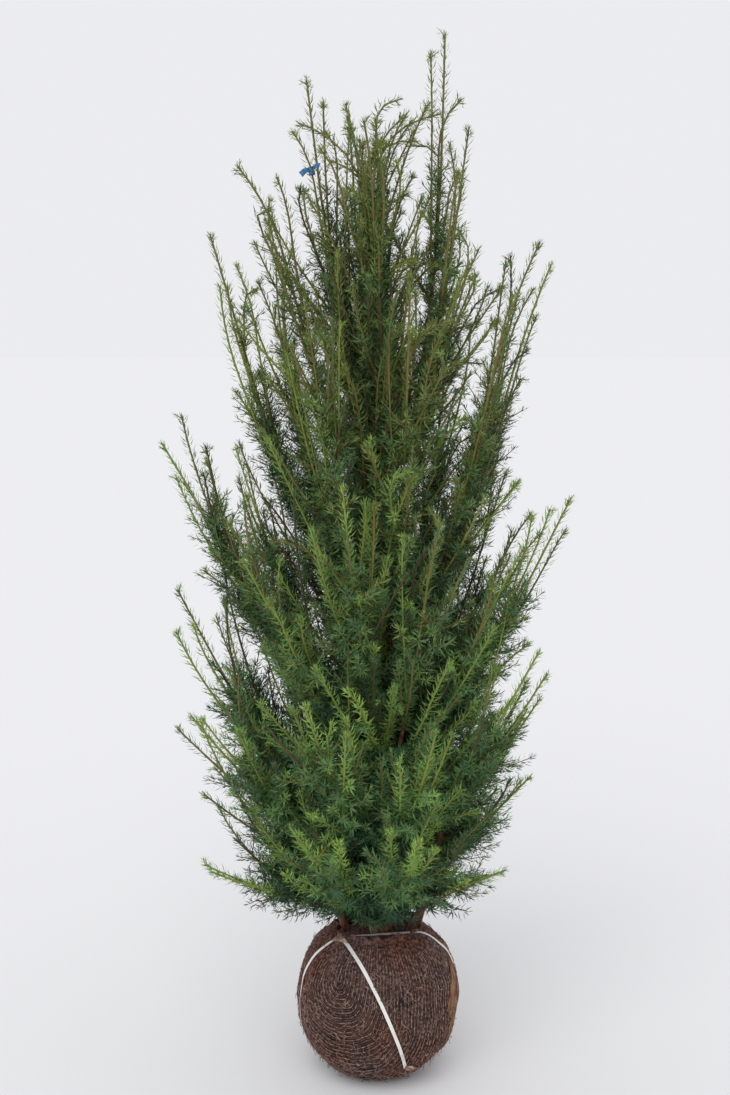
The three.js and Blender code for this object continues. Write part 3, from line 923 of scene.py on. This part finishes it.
def leafy_twigs(tier, carrier, start, end, length, kind):
    """Twigs up a carrying shoot between two shares of its length, each curving up to the light."""
    steps = np.linalg.norm(np.diff(carrier, axis=0), axis=1)
    reach = np.concatenate([[0], np.cumsum(steps)])
    turn = chance.uniform(0, 2 * math.pi)
    place = start * reach[-1]
    while place < end * reach[-1]:
        rank = int(np.clip(np.searchsorted(reach, place), 1, len(carrier) - 2))
        heading = unit(carrier[rank + 1] - carrier[rank - 1])
        origin = carrier[rank - 1] + heading * (place - reach[rank - 1])
        turn += GOLDEN
        place += TWIG_GAP[tier] * chance.uniform(0.7, 1.4)
        out = around(heading, turn)
        run = length * (1 - 0.5 * place / reach[-1]) * chance.uniform(0.5, 1.2)
        outside = share_of_reach(origin + out * run)
        if outside > 1.02:
            run = max(run / outside**2, 0.02)
        up = unit(heading * 0.8 + np.array([0, 0, 0.45]))
        knee = origin + unit(out * 0.9 + heading * 0.45) * run * 0.5
        tip = knee + unit(out * 0.5 + up * 0.9) * run * 0.55
        if tip[2] < LOWEST_TWIG:
            continue
        line = bezier(origin, knee, tip, points_for(run))
        first = len(shoots)
        # Inside the crown and low down a twig is made inner and dealt darker shades: partly older needles,
        # partly painted shade.
        near = "inner" if share_of_reach(tip) < SHADED_INNER_SHARE or tip[2] < SHADE_PAINTED_BELOW else kind
        add_shoot(tier, near, line, TWIG_THICK, TWIG_NEEDLES)
        for part in np.arange(0.2, 0.8, 0.013 / run):
            at = line[int(part * (len(line) - 1))]
            flat_turn = turn + math.pi * int(chance.integers(0, 2)) + chance.uniform(-0.5, 0.5)
            flat = around(unit(tip - origin), flat_turn)
            small = run * (1 - part) * chance.uniform(0.35, 0.75)
            if small > 0.012:
                bend = at + unit(flat + up * 0.7) * small * 0.5
                end_at = bend + unit(flat * 0.6 + up) * small * 0.5
                add_shoot(tier, near, bezier(at, bend, end_at, 4), SMALL_TWIG_THICK, SMALL_TWIG_NEEDLES)
        if bares_trunk(shoots[first:]):
            del shoots[first:]


wood_points, wood_ways, wood_tiers = [], [], []
for plume in plumes:
    tier = plume["tier"]
    foot, control, tip = plume["foot"], plume["control"], plume["tip"]
    length = np.linalg.norm(tip - foot)
    leader = bezier(foot, control, tip, points_for(length))
    bough = bough_of(plume)
    wood = np.vstack([bough[:-1], leader])
    wood_points.append(wood[1:-1])
    wood_ways.append(wood[2:] - wood[:-2])
    wood_tiers += [tier] * (len(wood) - 2)
    bare = int(0.25 * len(leader))
    outward = unit(np.array([tip[0], tip[1] * 0.4, 0]))
    leader = nodding(leader, outward, NOD[tier] * chance.uniform(0, 1.4))
    add_shoot(tier, "leader", leader[bare:], LEADER_THICK, LEADER_NEEDLES[tier])
    tip_buds(tier, "leader", leader)
    leafy_twigs(tier, wood, 0.12, 0.68, TWIG_REACH[tier], "outer")
    for rank, side_tip in enumerate(plume["tips"]):
        leaves = leader[int((0.3 + 0.1 * rank) * (len(leader) - 1))]
        line = bezier(leaves, bowed_control(leaves, side_tip, PLUME_BOW[tier]), side_tip,
                      points_for(np.linalg.norm(side_tip - leaves)))
        line = nodding(line, outward, NOD[tier] * chance.uniform(-0.6, 1.2))
        add_shoot(tier, "leader", line, SIDE_THICK, LEADER_NEEDLES[tier])
        tip_buds(tier, "leader", line)
        leafy_twigs(tier, line, 0.04, 0.5, TWIG_REACH[tier] * 0.6, "outer")
wood_points, wood_ways = np.vstack(wood_points), np.vstack(wood_ways)
wood_far = np.hypot(wood_points[:, 0], wood_points[:, 1])
for family in RISING_SHOOTS:
    low, high = family["heights"]
    for rank in range(family["count"]):
        height = low + (high - low) * ((rank + 0.5) / family["count"]) ** family["crowd"]
        turn = rank * GOLDEN
        row = int(np.clip((height - crown_low) / CROWN_STEP, 0, len(crown_table) - 1))
        column = round(turn / (2 * math.pi) * CROWN_TURNS) % CROWN_TURNS
        inner, outer = family["share"]
        far = crown_table[row, column] * (inner + (outer - inner) * chance.uniform() ** family["spread"])
        tip = np.array([far * math.cos(turn), far * math.sin(turn), height + chance.uniform(-0.02, 0.02)])
        run = tip - wood_points
        away = np.linalg.norm(run, axis=1)
        least, rise = chance.uniform(*family["least"]), 0.66 + 0.22 * min(height, 1.2) / 1.2
        inward = np.maximum(wood_far - far, 0) + 0.4 * np.maximum(family["rim"] * far - wood_far, 0)
        aside = np.abs(run[:, 0] * math.sin(turn) - run[:, 1] * math.cos(turn))
        cost = np.abs(away - least) + np.where(away < least, 0.3, 0) + np.abs(rise - run[:, 2] / away) * 0.9
        cost += inward * 5 + aside * family["aside"]
        best = int(cost.argmin())
        tier, origin, length = wood_tiers[best], wood_points[best], away[best]
        control = bowed_control(origin, tip, chance.uniform(0.02, 0.09))
        control = control + unit(wood_ways[best]) * length * 0.08
        line = bezier(origin, control, tip, points_for(length))
        side = around(np.array([0, 0, 1.0]), chance.uniform(0, 6.28))
        line = nodding(line, side, NOD[tier] * chance.uniform(0, 1.7))
        kind = "fresh" if chance.uniform() < family["fresh"] else "outer"
        add_shoot(tier, kind, line, RISING_THICK, LEADER_NEEDLES[tier])
        tip_buds(tier, kind, line)
        leafy_twigs(tier, line, 0.04, family["leafy"], TWIG_REACH[tier] * 0.62, "outer")

# ---- Needles ----
# Flat dark needles about 18 mm long and 2 mm wide, pointed and a little bent, one every two or three
# millimetres all round a shoot. They are small and close at its tip. Those of the year's long shoots
# are fresh green. Twigs deep inside the crown or low down get darker, bluer shades: partly the older
# needles' own colour, partly painted shade of the crown's inside and underside.
NEEDLE_LENGTH = 0.0205
NEEDLE_WIDTH = 0.0025
NEEDLE_BEND = -0.0018
LONG_SHOOT_GAP = 0.0018
TWIG_NEEDLE_GAP = 0.0032
TUFT_LENGTH = 0.008
TUFT_NEEDLES = 7
TWIG_STEP = 0.03
OLIVE_FROM, OLIVE_TO = 0.62, 1.25
SHADES = {
    "deep": (0.020, 0.064, 0.028),
    "dark": (0.054, 0.130, 0.050),
    "leaf": (0.104, 0.212, 0.068),
    "bright": (0.195, 0.355, 0.085),
    "lime": (0.295, 0.470, 0.100),
    "moss": (0.074, 0.148, 0.045),
    "sage": (0.128, 0.218, 0.060),
    "olive": (0.182, 0.250, 0.066),
    "gold": (0.250, 0.320, 0.078),
}
# The inner odds deal the darkest shades: partly the older needles' colour, partly painted shade of the
# crown's inside and underside.
SHADE_ODDS = {
    ("inner", "low"): {"deep": 5, "dark": 4, "leaf": 1},
    ("inner", "high"): {"deep": 2, "moss": 5, "sage": 2},
    ("outer", "low"): {"dark": 4, "leaf": 5, "bright": 1},
    ("outer", "high"): {"moss": 3, "sage": 4, "olive": 3},
    ("fresh", "low"): {"leaf": 2, "bright": 5, "lime": 3},
    ("fresh", "high"): {"sage": 3, "olive": 4, "gold": 3},
    ("leader", "low"): {"leaf": 3, "bright": 5, "lime": 2},
    ("leader", "high"): {"sage": 3, "olive": 5, "gold": 2},
}
STEM_SHADES = {
    "deep": "brown", "dark": "brown", "leaf": "olive", "bright": "green", "lime": "green",
    "moss": "brown", "sage": "olive", "olive": "olive", "gold": "green",
}
STEM_COLOURS = {"brown": (0.115, 0.070, 0.032), "olive": (0.195, 0.155, 0.048), "green": (0.27, 0.29, 0.062)}

for shoot in shoots:
    height = shoot["line"][:, 2].mean()
    yellower = chance.uniform() < np.clip((height - OLIVE_FROM) / (OLIVE_TO - OLIVE_FROM), 0, 1)
    odds = SHADE_ODDS[shoot["kind"], "high" if yellower else "low"]
    weights = np.array(list(odds.values()), float)
    shoot["shade"] = str(chance.choice(list(odds), p=weights / weights.sum()))


def needle_tree():
    """Needles round shoots: one bent blade, copied along each shoot and turned by the golden angle."""
    names = ["Length", "Width", "Bend", "Tuft length"]
    tree, size, add, finish = node_tree("needles", names)
    blade = add("GeometryNodeMeshCircle", {"Vertices": 4, "Radius": 1.0}, fill_type="NGON")
    place = add("ShaderNodeSeparateXYZ", {0: add("GeometryNodeInputPosition")})
    side = math_node(add, "ABSOLUTE", place.outputs["X"])
    up = math_node(add, "MULTIPLY_ADD", place.outputs["Y"], 0.5, 0.5)
    outline = add("ShaderNodeCombineXYZ", {
        "X": math_node(add, "MULTIPLY", place.outputs["X"], math_node(add, "MULTIPLY", size["Width"], 0.5)),
        "Y": math_node(add, "MULTIPLY", side, size["Bend"]),
        "Z": math_node(add, "MULTIPLY", math_node(add, "MULTIPLY_ADD", side, -0.06, up), size["Length"]),
    })
    needle = add("GeometryNodeSetPosition", {"Geometry": blade.outputs["Mesh"], "Position": outline})
    curve = add("GeometryNodeMeshToCurve", {"Mesh": size["Geometry"]})
    gap = add("GeometryNodeInputNamedAttribute", {"Name": "gap"}, data_type="FLOAT").outputs["Attribute"]
    even = add("GeometryNodeResampleCurve", {"Curve": curve, "Length": gap}, mode="LENGTH")
    whole = add("GeometryNodeSplineLength").outputs["Length"]
    end = add("GeometryNodeTrimCurve", {"Curve": curve}, mode="LENGTH")
    tree.links.new(math_node(add, "SUBTRACT", whole, size["Tuft length"]).outputs[0], end.inputs[4])
    tree.links.new(whole, end.inputs[5])
    tuft = add("GeometryNodeResampleCurve", {"Curve": end, "Count": TUFT_NEEDLES}, mode="COUNT")
    shoots_and_tufts = add("GeometryNodeJoinGeometry")
    tree.links.new(tuft.outputs[0], shoots_and_tufts.inputs[0])
    tree.links.new(even.outputs[0], shoots_and_tufts.inputs[0])
    share = add("GeometryNodeSplineParameter").outputs["Factor"]
    late = math_node(add, "POWER", share, 6.0)
    lean = add("FunctionNodeRandomValue", {2: 0.80, 3: 1.36, "Seed": 5}, data_type="FLOAT").outputs[1]
    tilt = math_node(add, "MULTIPLY", lean, math_node(add, "MULTIPLY_ADD", late, -0.6, 1.0))
    roll = add("FunctionNodeRandomValue", {2: -0.5, 3: 0.5, "Seed": 7}, data_type="FLOAT").outputs[1]
    spin = math_node(add, "ADD", math_node(add, "MULTIPLY", add("GeometryNodeInputIndex"), GOLDEN), roll)
    turned = add("ShaderNodeCombineXYZ", {"X": tilt, "Y": 0.0, "Z": spin})
    along = add("GeometryNodeInputTangent")
    shoot_way = add("FunctionNodeAlignRotationToVector", {"Vector": along}, axis="Z")
    round_it = add("FunctionNodeEulerToRotation", {0: turned})
    full = add("FunctionNodeRotateRotation", {0: shoot_way, 1: round_it}, rotation_space="LOCAL")
    given = add("GeometryNodeInputNamedAttribute", {"Name": "size"}, data_type="FLOAT").outputs["Attribute"]
    vary = add("FunctionNodeRandomValue", {2: 0.78, 3: 1.16, "Seed": 3}, data_type="FLOAT").outputs[1]
    scale = math_node(add, "MULTIPLY", given, vary)
    copies = add("GeometryNodeInstanceOnPoints",
                 {"Points": shoots_and_tufts, "Instance": needle, "Rotation": full, "Scale": scale})
    finish(copies)
    return tree


def twig_tree():
    """Three-sided twigs along shoots."""
    tree, size, add, finish = node_tree("twigs", ["Step"])
    tube, _ = tube_along(add, size, 3, False)
    finish(add("GeometryNodeSetShadeSmooth", {0: tube}))
    return tree


needles, twigs = needle_tree(), twig_tree()
needle_sizes = {"Length": NEEDLE_LENGTH, "Width": NEEDLE_WIDTH, "Bend": NEEDLE_BEND,
                "Tuft length": TUFT_LENGTH}
needle_materials = {shade: plain_material(shade + "_needles", SHADES[shade], 0.5, 0.3) for shade in SHADES}
stem_materials = {stem: plain_material(stem + "_twigs", colour, 0.6, 0.3)
                  for stem, colour in STEM_COLOURS.items()}


def shoots_mesh(name, some):
    """A mesh of shoots, with their thickness, their needles' size and the gap between needles."""
    gaps = [LONG_SHOOT_GAP if s["thick"][0] > THICKEST_TWIG else TWIG_NEEDLE_GAP for s in some]
    return line_mesh(name, [(s["line"], False) for s in some],
                     thick=[s["thick"] for s in some], size=[s["size"] for s in some],
                     gap=[np.full(len(s["line"]), gap) for s, gap in zip(some, gaps)])


for tier in TIERS:
    masses = plume_nodes(tier)
    of_tier = [s for s in shoots if s["tier"] == tier]
    looks = [(shade + "_needles", [s for s in of_tier if s["shade"] == shade],
              needles, needle_materials[shade], needle_sizes) for shade in SHADES]
    looks += [(stem + "_twigs", [s for s in of_tier if STEM_SHADES[s["shade"]] == stem],
               twigs, stem_materials[stem], {"Step": TWIG_STEP}) for stem in STEM_COLOURS]
    for look, some, rule, material, sizes in looks:
        if not some:
            continue
        name = tier + "_" + look
        piece = grown(name, shoots_mesh(name, some), rule, material, sizes)
        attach(piece, "root")
        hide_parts(*masses)

# ---- Dead twigs ----
# Two thin dry twigs without needles, stiff and grey brown. They start just above the neck of the cloth
# and stick out of the skirt at the lower right.
DEAD_TWIG_COLOUR = (0.17, 0.10, 0.065)
DEAD_TWIGS = (
    ((0.055, -0.035, 0.278), (0.097, -0.100, 0.344), (0.155, -0.110, 0.369), 0.0014),
    ((0.050, -0.040, 0.268), (0.070, -0.088, 0.325), (0.101, -0.102, 0.347), 0.0011),
)
DEAD_TWIG_POINTS = 12
dead_lines, dead_thick = [], []
for foot, knee, tip, radius in DEAD_TWIGS:
    foot, knee, tip = np.array(foot), np.array(knee), np.array(tip)
    line = bezier(foot, knee * 1.5 - (foot + tip) * 0.25, tip, DEAD_TWIG_POINTS)
    dead_lines.append((line, False))
    dead_thick.append(np.linspace(radius, radius * 0.55, DEAD_TWIG_POINTS))
dead_bark = plain_material("dead_bark", DEAD_TWIG_COLOUR, 0.9, 0.2)
mottled(dead_bark, BARK_DARK, DEAD_TWIG_COLOUR, 220, detail=4, low=0.3, high=0.6, bump=0.5)
piece = grown("dead_twigs", line_mesh("dead_twigs", dead_lines, thick=dead_thick), flaking_bark, dead_bark,
              {"Step": 0.006, "Relief": 0.6, "Sides": 6})
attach(piece, "root")
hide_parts("stem_right")

# ---- The blue tie ----
# A short strip of blue plastic, knotted round a long shoot near the top on the left. Three turns make
# the knot and two loose ends stand away from it.
TIE_PLACE = np.array([-0.125, -0.03, 1.535])
TIE_BLUE = (0.030, 0.130, 0.300)
TIE_DARK = (0.018, 0.075, 0.190)
TIE_LIGHT = (0.065, 0.230, 0.450)
TIE_LOOPS = ((0.0, 0.0046, 0.0), (0.6, 0.0052, 0.0035), (-0.7, 0.0050, -0.0035))
TIE_ENDS = ((-1.0, -0.4, -0.25), (0.75, -0.55, 0.5))
TIE_WIDTH = 0.006
TIE_END_WIDTHS = (0.006, 0.010)
TIE_END_LENGTH = 0.016


def from_tie(shoot):
    """How far each of a shoot's points is from the tie's place, where depth counts for less."""
    return np.linalg.norm((shoot["line"] - TIE_PLACE) * (1, 0.3, 1), axis=1)


long_shoots = (s for s in shoots if s["thick"][0] > THICKEST_TWIG)
near_tie = min(long_shoots, key=lambda shoot: from_tie(shoot).min())
rank = int(from_tie(near_tie).argmin())
rank = min(max(rank, 1), len(near_tie["line"]) - 2)
tie_heart = near_tie["line"][rank]
tie_way = unit(near_tie["line"][rank + 1] - near_tie["line"][rank - 1])
tie_parts = []
for lean, radius, lift in TIE_LOOPS:
    turn = np.linspace(0, 6.0, 18)
    first = around(unit(tie_way + lean * around(tie_way, 0.0) * 0.4), 1.0)
    second = np.cross(tie_way, first)
    outward = np.cos(turn)[:, None] * first + np.sin(turn)[:, None] * second
    line = tie_heart + tie_way * lift + outward * radius
    tie_parts.append(ribbon(line, outward, np.full(len(line), TIE_WIDTH)))
for end in TIE_ENDS:
    share = np.linspace(0, 1, 10)[:, None]
    way = unit(np.array(end))
    line = tie_heart + way * (0.003 + TIE_END_LENGTH * share)
    line = line + np.array([0, 0, 1]) * 0.003 * np.sin(share * 4)
    outward = np.tile(unit(np.cross(way, (0.3, 0.2, 1.0))), (len(line), 1))
    tie_parts.append(ribbon(line, outward, np.linspace(*TIE_END_WIDTHS, len(line))))
tie_blue = plain_material("blue_tie", TIE_BLUE, 0.45, 0.4)
mottled(tie_blue, TIE_DARK, TIE_LIGHT, 120, detail=3, low=0.35, high=0.65, bump=0.3)
tie = piece_from("blue_tie", *joined(tie_parts), tie_blue, smooth=False)
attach(tie, "root")
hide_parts(*plume_nodes("crown"))
